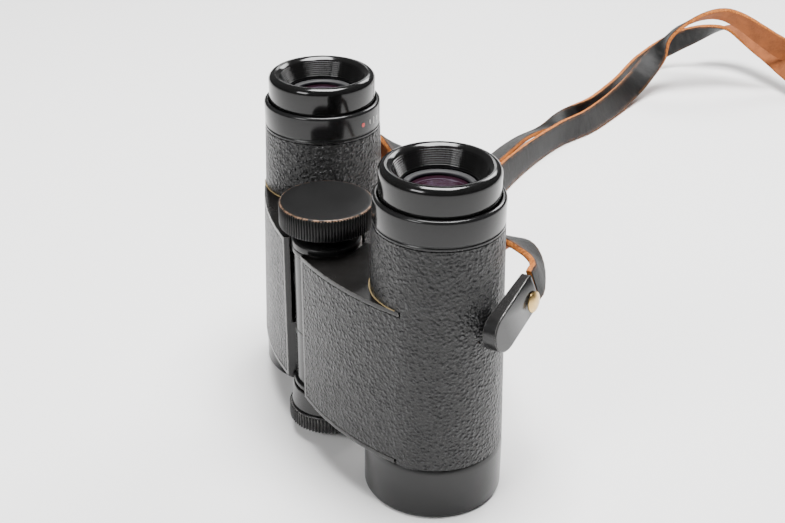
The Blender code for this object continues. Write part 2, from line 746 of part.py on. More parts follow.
def lug_ring(inset, depth=None):
    """The lug's outline: round at the stud, square with small round corners at the strap.

    Without a depth the outline lies on the inner face, which slopes to the thin end.
    """
    half = LUG_WIDTH / 2 - inset
    corner = LUG_CORNER
    reach = LUG_REACH - inset
    outline = arc(0, 0, half, 270, 90, 10)
    outline += arc(reach - corner, half - corner, corner, 90, 0, 3)
    outline += arc(reach - corner, corner - half, corner, 0, -90, 3)
    ring = []
    for along_by, across_by in outline:
        share = (along_by + LUG_WIDTH / 2) / (LUG_REACH + LUG_WIDTH / 2)
        thickness = LUG_ROOT + share * (LUG_TIP - LUG_ROOT)
        ring.append(on_lug(along_by, across_by, thickness if depth is None else depth))
    return ring


def strap_lug(side_name, parent):
    """The plate that the strap is riveted into, on a stud through the covering."""
    side = SIDES[side_name]
    lug = loft(f"{side_name}_lug", [
        lug_ring(0),
        lug_ring(0, LUG_CHAMFER),
        lug_ring(LUG_CHAMFER, 0),
    ], side)
    place(lug, BLACK_PAINT, parent)
    foot = cover_radius(LUG_FOOT_Z) - COVER_THICKNESS
    stud = rod(f"{side_name}_lug_stud", LUG_STUD_RADIUS, foot, LUG_FACE - LUG_TIP / 2, 16)
    keep_as_cutter(stud, parent, (side * HINGE_TO_AXIS, LUG_FOOT_Y, LUG_FOOT_Z))
    stud.rotation_euler = (0, side * pi / 2, 0)
    boolean(lug, stud, "UNION")

    rivet = turned(f"{side_name}_lug_rivet", [
        (0, RIVET_HEIGHT),
        (RIVET_RADIUS * 0.6, RIVET_HEIGHT * 0.8),
        (RIVET_RADIUS, RIVET_HEIGHT * 0.3),
        (RIVET_RADIUS, 0),
        (0, 0),
    ], 20)
    seat = on_lug(LUG_REACH - RIVET_BACK, -RIVET_DROP, -CLEARANCE)
    outward = lug_axes()[2]
    seat.x *= side
    outward.x *= side
    place(rivet, BRASS, parent)
    rivet.matrix_local = (Matrix.Translation(seat)
                          @ outward.to_track_quat("Z", "Y").to_matrix().to_4x4())


# ---------------------------------------------------------------- strap

def on_curve(corners, share):
    """A point between the middle two of four, on a centripetal Catmull-Rom curve."""
    times = [0]
    for one, other in zip(corners, corners[1:]):
        times.append(times[-1] + sqrt((other.xyz - one.xyz).length))
    now = times[1] + (times[2] - times[1]) * share

    def mix(low, high, start, end):
        return low + (high - low) * ((now - times[start]) / (times[end] - times[start]))

    first = mix(corners[0], corners[1], 0, 1)
    middle = mix(corners[1], corners[2], 1, 2)
    last = mix(corners[2], corners[3], 2, 3)
    return mix(mix(first, middle, 0, 2), mix(middle, last, 1, 3), 1, 2)


def smooth_route(route, step):
    """Points on a smooth curve through a route, about a step apart at most."""
    points = [Vector(point) for point in route]
    ends = (2 * points[0] - points[1], 2 * points[-1] - points[-2])
    points = [ends[0]] + points + [ends[1]]
    smooth = []
    for number in range(len(route) - 1):
        corners = points[number:number + 4]
        count = ceil((corners[2].xyz - corners[1].xyz).length / step)
        smooth += [on_curve(corners, part / count) for part in range(count)]
    return smooth + [points[-2]]


def strap():
    """The leather band, standing on its edge where its lean is 0."""
    mirrored = [(-x, y, z, lean) for x, y, z, lean in reversed(STRAP_START)]
    route = STRAP_START + STRAP_MIDDLE + mirrored
    curve = bpy.data.curves.new("strap", "CURVE")
    curve.dimensions = "3D"
    curve.fill_mode = "FULL"
    curve.use_fill_caps = True
    curve.twist_mode = "Z_UP"
    curve.bevel_depth = STRAP_THICKNESS / 2
    curve.bevel_resolution = 0
    curve.extrude = STRAP_WIDTH / 2 - curve.bevel_depth
    points = smooth_route(route, STRAP_STEP)
    spline = curve.splines.new("POLY")
    spline.points.add(len(points) - 1)
    for knot, point in zip(spline.points, points):
        knot.co = (*point.xyz, 1)
        knot.tilt = -radians(point.w)
    place(bpy.data.objects.new("strap", curve), STRAP_LEATHER, None, (0, AXES_Y, 0))


# ---------------------------------------------------------------- hinge column

def column_piece(name, profile, finish, segments=24):
    """A turned piece on the hinge axis."""
    return place(turned(name, profile, segments), finish, None, (0, HINGE_Y, 0))


def hinge_column():
    bush_radius = KNUCKLE_BORE - CLEARANCE
    sleeve_bore = STEM_RADIUS + CLEARANCE
    collar_bottom = KNUCKLE_TOP + CLEARANCE
    column_piece("hinge_collar", [
        (COLLAR_RADIUS - 0.0004, COLLAR_TOP),
        (COLLAR_RADIUS, COLLAR_TOP - 0.0004),
        (COLLAR_RADIUS, collar_bottom),
        (bush_radius, collar_bottom),
        (bush_radius, STEM_BOTTOM - 0.0010),
        (sleeve_bore, STEM_BOTTOM - 0.0010),
        (sleeve_bore, COLLAR_TOP),
    ], ANODISED, 32)

    # a steel bush ties the two knuckles together where neither focusing arm passes
    half_channel = ARM_HEIGHT / 2 + 3 * CLEARANCE
    bush_bottom = RIGHT_ARM_Z + FOCUS_UP + half_channel
    bush_top = LEFT_ARM_Z - FOCUS_DOWN - half_channel
    column_piece("hinge_bush", [
        (bush_radius, bush_top),
        (bush_radius, bush_bottom),
        (SPINDLE_FLANGE + CLEARANCE, bush_bottom),
        (SPINDLE_FLANGE + CLEARANCE, bush_top),
    ], BRIGHT_METAL, 24)

    washer_bottom = PLUG_TOP + CLEARANCE
    plug_spigot = KNUCKLE_BORE - CLEARANCE
    column_piece("hinge_washer", [
        (WASHER_RADIUS, KNUCKLE_BOTTOM - CLEARANCE),
        (WASHER_RADIUS, washer_bottom),
        (plug_spigot + CLEARANCE, washer_bottom),
        (plug_spigot + CLEARANCE, KNUCKLE_BOTTOM - CLEARANCE),
    ], ANODISED, 32)

    spigot_top = KNUCKLE_BOTTOM + 0.0007
    column_piece("hinge_end_plug", [
        (0, spigot_top),
        (plug_spigot, spigot_top),
        (plug_spigot, PLUG_TOP),
        (PLUG_TOP_RADIUS, PLUG_TOP),
        (PLUG_BOTTOM_RADIUS, PLUG_BOTTOM),
        (SOCKET_RADIUS, PLUG_BOTTOM),
        (SOCKET_RADIUS, PLUG_TOP - 0.0010),
        (0, PLUG_TOP - 0.0010),
    ], BLACK_PAINT, 32)

    stud_radius = SOCKET_RADIUS - CLEARANCE
    cap_top = PLUG_BOTTOM - CLEARANCE
    column_piece("cap_stud", [
        (0, PLUG_TOP - 0.0016),
        (stud_radius, PLUG_TOP - 0.0020),
        (stud_radius, CAP_BOTTOM + 0.0018),
        (0, CAP_BOTTOM + 0.0018),
    ], BRIGHT_METAL, 16)
    column_piece("front_cap", [
        (CAP_RADIUS - 0.0004, cap_top),
        (CAP_RADIUS, cap_top - 0.0004),
        (CAP_RADIUS, CAP_BOTTOM + 0.0006),
        (CAP_RADIUS - 0.0006, CAP_BOTTOM),
        (0, CAP_BOTTOM),
        (0, CAP_BOTTOM + 0.0018 - CLEARANCE),
        (SOCKET_RADIUS, CAP_BOTTOM + 0.0018 - CLEARANCE),
        (SOCKET_RADIUS, cap_top),
    ], ANODISED, 32)


def focusing_gear():
    """The knob turns, and a screw inside it moves the spindle with both focusing arms."""
    neck = 0.0066
    stem_bore = SPINDLE_RADIUS + CLEARANCE
    column_piece("focus_knob", [
        (0, KNOB_TOP),
        (KNOB_RADIUS - 0.0008, KNOB_TOP),
        (KNOB_RADIUS, KNOB_TOP - 0.0006),
        (KNOB_RADIUS, KNOB_BOTTOM + 0.0005),
        (KNOB_RADIUS - 0.0005, KNOB_BOTTOM),
        (neck, KNOB_BOTTOM),
        (neck, COLLAR_TOP + CLEARANCE),
        (STEM_RADIUS, COLLAR_TOP + CLEARANCE),
        (STEM_RADIUS, STEM_BOTTOM),
        (stem_bore, STEM_BOTTOM),
        (stem_bore, KNOB_BOTTOM),
        (0, KNOB_BOTTOM),
    ], ANODISED, 36)

    flange = 0.0010
    grip = ARM_HEIGHT / 2 + CLEARANCE
    spindle_top = STEM_BOTTOM + 0.0045
    spindle_bottom = KNUCKLE_BOTTOM + FOCUS_DOWN + 0.0012
    outline = [(0, spindle_top), (SPINDLE_RADIUS, spindle_top)]
    for arm_z in (LEFT_ARM_Z, RIGHT_ARM_Z):
        for low in (arm_z + grip, arm_z - grip - flange):
            outline += [
                (SPINDLE_RADIUS, low + flange),
                (SPINDLE_FLANGE, low + flange),
                (SPINDLE_FLANGE, low),
                (SPINDLE_RADIUS, low),
            ]
    outline += [(SPINDLE_RADIUS, spindle_bottom), (0, spindle_bottom)]
    column_piece("focus_spindle", outline, BRIGHT_METAL, 16)


# ---------------------------------------------------------------- assembly

# the origin is midway between the front of the focusing knob and the back of the lugs
HINGE_TO_AXES_Y = HINGE_TO_AXIS * sin(FOLD)
LUG_BACK = max((Matrix.Rotation(FOLD, 3, "Z") @ point).y for point in lug_ring(0, LUG_CHAMFER))
HINGE_Y = (KNOB_RADIUS - LUG_BACK) / 2
AXES_Y = HINGE_Y + HINGE_TO_AXES_Y

for half_name in SIDES:
    half = half_axis(half_name)
    body_casting(half_name, half)
    leather_cover(half_name, half)
    objective_group(half_name, half)
    focusing_group(half_name, half)
    prism_group(half_name, half)
    eyepiece_group(half_name, half)
    strap_lug(half_name, half)
hinge_column()
focusing_gear()
strap()
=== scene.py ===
# %% [markdown]
# # Compact binoculars on a leather strap
# This lesson dresses a pair of roof-prism binoculars. The sizes and the joints already
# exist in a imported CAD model, which is loaded here as a fixed frame. Each step makes one
# real piece or one finish. Everything is in metres, with Z up and the floor at z = 0.

# %% Load the frame
import json
from math import ceil, cos, pi, radians, sin, sqrt

import bmesh
import bpy
from mathutils import Matrix, Vector, noise
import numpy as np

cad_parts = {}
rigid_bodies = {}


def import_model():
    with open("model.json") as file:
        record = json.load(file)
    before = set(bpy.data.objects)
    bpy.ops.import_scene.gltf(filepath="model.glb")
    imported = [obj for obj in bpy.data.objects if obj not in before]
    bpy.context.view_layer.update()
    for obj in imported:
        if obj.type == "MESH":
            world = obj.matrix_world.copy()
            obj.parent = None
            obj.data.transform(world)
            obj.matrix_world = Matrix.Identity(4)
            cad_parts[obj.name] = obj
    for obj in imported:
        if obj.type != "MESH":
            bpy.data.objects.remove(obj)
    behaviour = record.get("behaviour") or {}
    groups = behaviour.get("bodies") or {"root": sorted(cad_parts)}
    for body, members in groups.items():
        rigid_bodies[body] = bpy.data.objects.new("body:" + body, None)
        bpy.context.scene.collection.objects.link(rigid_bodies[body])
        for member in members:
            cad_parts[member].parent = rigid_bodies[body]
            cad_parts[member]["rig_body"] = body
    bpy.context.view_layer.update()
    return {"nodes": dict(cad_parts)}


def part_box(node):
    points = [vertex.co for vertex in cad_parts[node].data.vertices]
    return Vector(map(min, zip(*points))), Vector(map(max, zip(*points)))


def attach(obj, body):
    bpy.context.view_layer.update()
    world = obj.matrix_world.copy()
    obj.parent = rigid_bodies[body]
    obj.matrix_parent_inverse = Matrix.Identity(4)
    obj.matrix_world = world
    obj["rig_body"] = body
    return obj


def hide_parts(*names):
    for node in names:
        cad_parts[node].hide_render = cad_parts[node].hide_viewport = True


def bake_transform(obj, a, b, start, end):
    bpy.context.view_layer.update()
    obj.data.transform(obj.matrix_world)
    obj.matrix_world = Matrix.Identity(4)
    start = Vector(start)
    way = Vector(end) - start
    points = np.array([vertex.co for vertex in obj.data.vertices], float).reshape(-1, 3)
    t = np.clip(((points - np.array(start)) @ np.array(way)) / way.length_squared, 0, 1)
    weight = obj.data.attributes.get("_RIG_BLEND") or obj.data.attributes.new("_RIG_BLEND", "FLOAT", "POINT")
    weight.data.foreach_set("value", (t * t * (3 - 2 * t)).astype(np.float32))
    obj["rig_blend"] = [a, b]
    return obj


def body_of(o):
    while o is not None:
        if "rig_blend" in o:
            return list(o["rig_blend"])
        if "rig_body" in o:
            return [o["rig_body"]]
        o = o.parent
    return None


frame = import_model()

# %% [markdown]
# ## Axes
# Almost every piece is turned, so three upright axes place nearly all of them: the two
# optical axes and the hinge. They could be typed in, but the boxes of the eyecups and
# of the focusing knob give them without a chance of a slip.

# %% Measure the three axes
def middle_of(node):
    low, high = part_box(node)
    return Vector(((low.x + high.x) / 2, (low.y + high.y) / 2, 0))


HINGE = middle_of("focus_knob")
OPTICAL = {"left": middle_of("left_eyecup"), "right": middle_of("right_eyecup")}
AXES_Y = OPTICAL["left"].y
MERGE = 0.00001                 # points closer than this are one point
print("hinge", HINGE, "left axis", OPTICAL["left"])

# %% [markdown]
# ## Camera
# A short telephoto looks down from the user's left, from about 0.4 m. A camera can be
# turned with Euler angles, but three perpendicular directions are easier to check: the
# look direction, a level direction to its right that is tipped by a slight roll, and up.

# %% Set the camera
look = Vector((-0.78329, 0.39768, -0.47782)).normalized()
level = Vector((-look.y, look.x, 0)).normalized() * -1
roll = radians(0.453)
right = cos(roll) * level + sin(roll) * level.cross(look)
up = right.cross(look)
camera = bpy.data.objects.new("camera", bpy.data.cameras.new("camera"))
camera.data.lens = 58.93
camera.data.sensor_width = 36
camera.data.clip_start = 0.01
camera.matrix_world = (Matrix.Translation((0.29741, AXES_Y - 0.14560, 0.23261))
                       @ Matrix((right, up, -look)).transposed().to_4x4())
bpy.context.scene.collection.objects.link(camera)
bpy.context.scene.camera = camera
print("camera at", camera.location)

# %% [markdown]
# ## Shader expressions
# A finish is a small program: masks are added, multiplied and clamped, and then choose
# between colours. Node by node that is long to read, so a wrapped socket turns + - * /
# into Math nodes, and one method makes every other node.

# %% The two helper classes for finishes
class Value:
    """A socket in an expression. Arithmetic on it adds Math nodes."""

    def __init__(self, finish, socket):
        self.finish = finish
        self.socket = socket

    def math(self, operation, one, other):
        return self.finish.node("ShaderNodeMath", {"operation": operation}, {0: one, 1: other})

    def __add__(self, other):
        return self.math("ADD", self, other)

    def __sub__(self, other):
        return self.math("SUBTRACT", self, other)

    def __rsub__(self, other):
        return self.math("SUBTRACT", other, self)

    def __mul__(self, other):
        return self.math("MULTIPLY", self, other)

    def __pow__(self, other):
        return self.math("POWER", self, other)

    __radd__ = __add__
    __rmul__ = __mul__

    def step(self, low, high):
        """0 up to low, 1 from high, and smooth in between."""
        return self.finish.node("ShaderNodeMapRange", {"interpolation_type": "SMOOTHSTEP"},
                                {"Value": self, "From Min": low, "From Max": high})


class Finish:
    """A material with one Principled shader, built up by its methods."""

    def __init__(self, name):
        self.material = bpy.data.materials.new(name)
        self.material.use_nodes = True
        self.tree = self.material.node_tree
        self.shader = self.tree.nodes["Principled BSDF"]

    def node(self, kind, settings=None, values=None, output=0):
        made = self.tree.nodes.new(kind)
        for name, setting in (settings or {}).items():
            setattr(made, name, setting)
        for name, value in (values or {}).items():
            self.feed(made.inputs[name], value)
        return Value(self, made.outputs[output])

    def feed(self, socket, value):
        if isinstance(value, Value):
            self.tree.links.new(value.socket, socket)
        else:
            socket.default_value = value

    def shade(self, **values):
        """Set the shader's sockets: base_color sets Base Color, and IOR sets IOR."""
        for name, value in values.items():
            label = name if name.isupper() else name.replace("_", " ").title()
            self.feed(self.shader.inputs[label], value)

    def position(self):
        return self.node("ShaderNodeTexCoord", output="Object")

    def part_of(self, vector, axis):
        return self.node("ShaderNodeSeparateXYZ", values={0: vector}, output=axis)

    def speckle(self, scale, detail=3.0, vector=None):
        """Cloudy noise from 0 to 1. The scale is in lumps per metre."""
        return self.node("ShaderNodeTexNoise", None, {
            "Vector": vector or self.position(), "Scale": scale, "Detail": detail})

    def mix(self, amount, one, other):
        """A colour between two others."""
        return self.node("ShaderNodeMix", {"data_type": "RGBA"},
                         {0: amount, 6: one, 7: other}, 2)

    def bump(self, height, distance, strength=1.0, normal=None):
        values = {"Height": height, "Distance": distance, "Strength": strength}
        if normal:
            values["Normal"] = normal
        return self.node("ShaderNodeBump", None, values)

    def facing_up(self):
        """1 where the surface looks up, which is where dust lies."""
        normal = self.node("ShaderNodeNewGeometry", output="Normal")
        return self.part_of(normal, "Z").step(0.6, 0.95)

    def edges(self, radius):
        """(mask of the sharp edges, normal that rounds them off)."""
        rounded = self.node("ShaderNodeBevel", {"samples": 6}, {"Radius": radius})
        plain = self.node("ShaderNodeNewGeometry", output="Normal")
        same = self.node("ShaderNodeVectorMath", {"operation": "DOT_PRODUCT"},
                         {0: rounded, 1: plain}, "Value")
        return (1 - same).step(0.015, 0.12), rounded


def grey(level):
    return (level, level, level * 1.03, 1.0)


FINISHES = {}
print("helpers ready")

# %% [markdown]
# ## Black enamel
# The castings, the objective ends and the lugs are painted metal. The paint is semi-gloss,
# with a faint orange-peel surface, handling marks that change its gloss, wear along the
# sharp edges, and brownish dust on everything that looks up.

# %% Make the enamel
def enamel(name, base, gloss, dust_amount, worn):
    finish = Finish(name)
    wear, rounded = finish.edges(0.00045)
    broken = finish.speckle(900, 4).step(0.42, 0.62)
    smear = finish.speckle(120, 5)
    peel = finish.speckle(3200, 2)
    specks = finish.speckle(2600, 5).step(0.55, 0.70)
    dust = finish.facing_up() * (0.25 + specks * 0.75) * dust_amount
    paint = finish.mix(smear, grey(base), grey(base * 1.7))
    edged = finish.mix(wear * (0.35 + broken * 0.65) * worn, paint, (0.34, 0.33, 0.32, 1))
    finish.shade(
        base_color=finish.mix(dust, edged, (0.17, 0.13, 0.09, 1)),
        roughness=gloss + smear * 0.16 + dust * 0.35 - wear * 0.06,
        metallic=wear * broken * 0.7 * worn,
        IOR=1.40,
        normal=finish.bump(peel, 0.00002, 0.5, rounded),
    )
    FINISHES[name] = finish.material


enamel("black_enamel", 0.003, 0.16, 0.03, 0.50)
enamel("lug_enamel", 0.008, 0.15, 0.04, 0.80)
print("enamels:", list(FINISHES))

# %% [markdown]
# ## Leatherette
# The covering is pressed cloth with small irregular pebbles, about 1.2 mm across. A Voronoi
# texture gives such cells: its smoothed distance rises from the middle of a cell to the
# crease round it. Warping its coordinates with noise takes away the too regular look. The tops are
# polished by hands, and the creases are painted darker than the tops, as painted shade.

# %% Make the leatherette
def leatherette():
    finish = Finish("leatherette")
    warp = finish.node("ShaderNodeTexNoise", None, {
        "Vector": finish.position(), "Scale": 700.0, "Detail": 2.0}, "Color")
    warped = finish.node("ShaderNodeVectorMath", {"operation": "MULTIPLY_ADD"}, {
        0: warp, 1: (0.0007, 0.0007, 0.0007), 2: finish.position()})
    domes = finish.node("ShaderNodeTexVoronoi", {"feature": "SMOOTH_F1"},
                        {"Vector": warped, "Scale": 860.0, "Smoothness": 0.35})
    pebble = 1 - domes.step(0.10, 0.62)
    wrinkle = finish.speckle(1500, 3, warped).step(0.30, 0.70)
    fine = finish.speckle(6000, 2)
    cloud = finish.speckle(70, 4)
    rubbed = finish.speckle(240, 4).step(0.42, 0.78)
    # The crease colour is painted darker than the tops: painted shade in the creases.
    painted_crease_shade = finish.mix(cloud, (0.004, 0.004, 0.004, 1), (0.008, 0.008, 0.008, 1))
    light = finish.mix(rubbed, (0.009, 0.009, 0.010, 1), (0.022, 0.022, 0.024, 1))
    finish.shade(
        base_color=finish.mix(pebble, painted_crease_shade, light),
        roughness=0.38 - pebble * 0.08 - rubbed * 0.05 + fine * 0.06,
        IOR=1.42,
        normal=finish.bump(pebble + wrinkle * 0.35 + fine * 0.05, 0.00042, 1.0),
    )
    FINISHES["leatherette"] = finish.material


leatherette()
print("leatherette ready")

# %% [markdown]
# ## Anodised metal
# The knob, the rings round the eyepieces and the hinge fittings are anodised: a dark grey
# that is nearly black, with very fine turning lines that follow the part round. The lines
# are noise that is stretched round the axis, which here means noise on the height and the
# radius only.

# %% Make the anodised metal
COPPER_Z = (0.0753, 0.0757)     # heights over which the knob's copper wear fades in


def anodised(name, axis, base, gloss, copper_from=None):
    finish = Finish(name)
    centred = finish.node("ShaderNodeMapping", None, {
        "Vector": finish.position(), "Location": (-axis.x, -axis.y, 0)})
    across = finish.part_of(centred, "X")
    deep = finish.part_of(centred, "Y")
    radius = (across * across + deep * deep) ** 0.5
    height = finish.part_of(centred, "Z")
    round_it = finish.node("ShaderNodeCombineXYZ", None, {0: radius, 1: 0.0, 2: height})
    lines = finish.speckle(9000, 1, round_it)
    wear, rounded = finish.edges(0.0003)
    broken = finish.speckle(700, 4).step(0.35, 0.60)
    smear = finish.speckle(150, 5)
    specks = finish.speckle(2600, 5).step(0.57, 0.72)
    dust = finish.facing_up() * specks * 0.02
    metal = finish.mix(smear, grey(base), grey(base * 1.6))
    worn = wear * (0.30 + broken * 0.70) * 0.75
    bare = (0.36, 0.35, 0.34, 1)
    if copper_from:
        rim = radius.step(copper_from, copper_from + 0.0003) * height.step(*COPPER_Z)
        worn = rim * broken * 0.45
        bare = (0.62, 0.36, 0.22, 1)
    coloured = finish.mix(worn, metal, bare)
    finish.shade(
        base_color=finish.mix(dust, coloured, (0.20, 0.17, 0.13, 1)),
        metallic=worn * 0.8,
        IOR=1.37,
        roughness=gloss + smear * 0.08 + lines * 0.05 + dust * 0.3,
        normal=finish.bump(lines, 0.00001, 0.5, rounded),
    )
    FINISHES[name] = finish.material


anodised("anodised", HINGE, 0.006, 0.22)
anodised("knob_finish", HINGE, 0.002, 0.30, copper_from=0.0127)
anodised("left_ring_finish", OPTICAL["left"], 0.006, 0.10)
anodised("right_ring_finish", OPTICAL["right"], 0.006, 0.10)
print("anodised finishes ready")

# %% [markdown]
# ## Hard plastic, glass and the other metals
# The eyecups are glossy hard plastic with hairline scratches. The lenses are coated: they
# throw back a purple share of the light, and show a dark tube behind. Brass and bright
# steel are worn metals, and the tubes inside are matt black.

# %% Make the small finishes
def plain(name, colour, other, roughness, metallic=0.0, scale=400.0, **more):
    finish = Finish(name)
    cloud = finish.speckle(scale, 5)
    fine = finish.speckle(scale * 9, 3)
    finish.shade(
        base_color=finish.mix(cloud, (*colour, 1), (*other, 1)),
        roughness=roughness + cloud * 0.08 + fine.step(0.6, 0.75) * 0.12,
        metallic=metallic,
        normal=finish.bump(fine, 0.00001, 0.4),
        **more,
    )
    FINISHES[name] = finish.material


plain("hard_plastic", (0.003, 0.003, 0.003), (0.005, 0.005, 0.005), 0.08, IOR=1.40)
plain("funnel_plastic", (0.003, 0.003, 0.003), (0.006, 0.006, 0.006), 0.26, IOR=1.40)
plain("coated_glass", (0.020, 0.008, 0.010), (0.030, 0.012, 0.014), 0.01,
      scale=60.0, IOR=1.7, coat_weight=1.0, coat_roughness=0.01,
      coat_tint=(0.80, 0.72, 1.0, 1), specular_tint=(0.62, 0.48, 1.0, 1))
plain("clear_glass", (0.60, 0.64, 0.66), (0.70, 0.74, 0.76), 0.03)
plain("inner_black", (0.012, 0.012, 0.013), (0.022, 0.022, 0.023), 0.55)
plain("bright_steel", (0.48, 0.48, 0.50), (0.62, 0.61, 0.60), 0.22, 1.0)
plain("brass", (0.40, 0.25, 0.08), (0.72, 0.52, 0.24), 0.22, 1.0, 900.0)
plain("white_paint", (0.70, 0.69, 0.66), (0.82, 0.81, 0.78), 0.45)
plain("red_paint", (0.55, 0.02, 0.02), (0.70, 0.04, 0.03), 0.35)
plain("old_glue", (0.20, 0.14, 0.06), (0.34, 0.26, 0.13), 0.40)
print("finishes:", len(FINISHES))

# %% [markdown]
# ## Strap leather
# A dyed strap is black only on its grain side. Its cut edges are tan and a little furry,
# and its flesh side is rust brown. The strap's mesh carries an attribute with three
# lengths: along the strap, across it, and through it. The finish reads those, so the
# creases run across the band wherever it turns.

# %% Make the strap leather
STRAP_WIDTH = 0.0110
STRAP_THICKNESS = 0.0020


def strap_leather():
    finish = Finish("strap_leather")
    band = finish.node("ShaderNodeAttribute", {"attribute_name": "band"}, None, "Vector")
    across = finish.part_of(band, "Y")
    through = finish.part_of(band, "Z")
    from_edge = STRAP_WIDTH / 2 - (across * across) ** 0.5
    fray = finish.speckle(1500, 4, band) * 0.0006
    grain_side = (through - fray * 0.5).step(0.00045, 0.00062)
    flesh_side = (0 - through).step(0.00080, 0.00094)
    stretched = finish.node("ShaderNodeMapping", None, {
        "Vector": band, "Scale": (1.0, 0.35, 1.0)})
    creases = finish.speckle(750, 5, stretched)
    pores = finish.node("ShaderNodeTexVoronoi", {"feature": "DISTANCE_TO_EDGE"},
                        {"Vector": band, "Scale": 1500.0}).step(0.0, 0.30)
    scuffs = finish.speckle(260, 6, stretched).step(0.46, 0.72)
    rubbed = (1 - (from_edge - fray).step(0.0002, 0.0013)) * finish.speckle(
        500, 4, band).step(0.35, 0.65)
    fibres = finish.speckle(2300, 4, stretched)
    black = finish.mix(scuffs, (0.003, 0.003, 0.003, 1), (0.020, 0.019, 0.019, 1))
    grain = finish.mix(rubbed * 0.45, black, (0.14, 0.055, 0.018, 1))
    tan = finish.mix(fibres.step(0.3, 0.7), (0.16, 0.040, 0.008, 1), (0.50, 0.17, 0.035, 1))
    rust = finish.mix(finish.speckle(170, 5, band).step(0.3, 0.7), (0.10, 0.028, 0.008, 1),
                      (0.24, 0.070, 0.018, 1))
    flesh = finish.mix(fibres, rust, (0.26, 0.085, 0.028, 1))
    finish.shade(
        base_color=finish.mix(grain_side, finish.mix(flesh_side, tan, flesh), grain),
        roughness=0.88 - grain_side * (0.44 - scuffs * 0.12 - creases * 0.10),
        IOR=1.33,
        normal=finish.bump(
            grain_side * (pores * 0.35 + creases * 0.9) + (1 - grain_side) * fibres * 0.9,
            0.00016, 0.8),
    )
    FINISHES["strap_leather"] = finish.material


strap_leather()
print("strap leather ready")

# %% [markdown]
# ## Strap
# One leather band, 11 mm wide and 2 mm thick, goes from lug to lug. Its route is a list
# of points with a lean, which is how far its upper edge tips to the left of the way it
# runs. A curve object could carry the band, but the finish needs to know along, across
# and through. So a flat grid is wrapped round a rounded section at each station of the
# route, and the two ends are filled.

# %% The strap's route
STRAP_STATION = 0.0030          # the longest step from one station to the next
STRAP_START = [
    (0.0491, 0.0225, 0.0639, 7),
    (0.0474, 0.0249, 0.0651, 14),
    (0.0440, 0.0263, 0.0668, 34),
    (0.0405, 0.0265, 0.0683, 54),
    (0.0360, 0.0261, 0.0692, 66),
    (0.0280, 0.0258, 0.0675, 70),
]
STRAP_MIDDLE = [
    (0.0010, 0.0343, 0.0500, 50),
    (-0.0350, 0.0513, 0.0220, 40),
    (-0.0840, 0.0793, 0.0070, 24),
    (-0.1220, 0.1203, 0.0060, 15),
    (-0.1480, 0.1633, 0.0060, 3),
    (-0.1570, 0.1873, 0.0060, 15),
    (-0.1820, 0.2303, 0.0080, 45),
    (-0.1880, 0.2473, 0.0185, 78),
    (-0.1850, 0.2563, 0.0315, 112),
    (-0.1790, 0.2773, 0.0380, 130),
    (-0.1620, 0.3053, 0.0210, 165),
    (-0.1480, 0.3333, 0.0080, 215),
    (-0.1300, 0.3493, 0.0050, 262),
    (-0.1160, 0.3393, 0.0050, 275),
    (-0.1240, 0.3193, 0.0070, 296),
    (-0.1450, 0.3063, 0.0100, 318),
    (-0.1750, 0.3063, 0.0165, 308),
    (-0.1970, 0.3013, 0.0220, 265),
    (-0.2060, 0.2873, 0.0185, 208),
    (-0.2110, 0.2733, 0.0125, 180),
    (-0.2060, 0.2513, 0.0075, 180),
    (-0.1820, 0.2163, 0.0060, 180),
    (-0.1650, 0.1863, 0.0060, 172),
    (-0.1580, 0.1673, 0.0060, 80),
    (-0.1520, 0.1483, 0.0063, 64),
    (-0.1360, 0.1263, 0.0085, 64),
    (-0.1100, 0.0933, 0.0085, 60),
    (-0.0720, 0.0573, 0.0100, 50),
    (-0.0390, 0.0383, 0.0260, 52),
    (-0.0210, 0.0323, 0.0510, 58),
]


def on_curve(corners, share):
    """A point between the middle two of four, on a centripetal Catmull-Rom curve."""
    times = [0]
    for one, other in zip(corners, corners[1:]):
        times.append(times[-1] + sqrt((other.xyz - one.xyz).length))
    now = times[1] + (times[2] - times[1]) * share

    def between(low, high, start, end):
        return low + (high - low) * ((now - times[start]) / (times[end] - times[start]))

    first = between(corners[0], corners[1], 0, 1)
    middle = between(corners[1], corners[2], 1, 2)
    last = between(corners[2], corners[3], 2, 3)
    return between(between(first, middle, 0, 2), between(middle, last, 1, 3), 1, 2)


def smooth_route(route, step):
    """Points on a smooth curve through a route, about a step apart at most."""
    points = [Vector(point) for point in route]
    points = [2 * points[0] - points[1]] + points + [2 * points[-1] - points[-2]]
    smooth = []
    for number in range(len(route) - 1):
        corners = points[number:number + 4]
        count = ceil((corners[2].xyz - corners[1].xyz).length / step)
        smooth += [on_curve(corners, part / count) for part in range(count)]
    return smooth + [points[-2]]


strap_end = [(-x, y, z, lean) for x, y, z, lean in reversed(STRAP_START)]
stations = smooth_route(STRAP_START + STRAP_MIDDLE + strap_end, STRAP_STATION)
strap_path = [station.xyz + Vector((0, AXES_Y, 0)) for station in stations]

# %% Wrap the strap round its route
def band_section():
    """The section of the band as (across, through): flat grain and flesh faces, rounded corners."""
    half = STRAP_WIDTH / 2
    thick = STRAP_THICKNESS / 2
    corner = 0.00045
    section = []
    for centre_a, centre_t, start in ((half, thick, 0), (-half, thick, 90),
                                      (-half, -thick, 180), (half, -thick, 270)):
        middle_a = centre_a - corner * (1 if centre_a > 0 else -1)
        middle_t = centre_t - corner * (1 if centre_t > 0 else -1)
        for turn in (0, 30, 60, 90):
            angle = radians(start + turn)
            section.append((middle_a + corner * cos(angle), middle_t + corner * sin(angle)))
        if start in (0, 180):
            side = 1 if start == 0 else -1
            for share in (0.6, 0.2, -0.2, -0.6):
                section.append((half * share * side, thick * side))
    return section


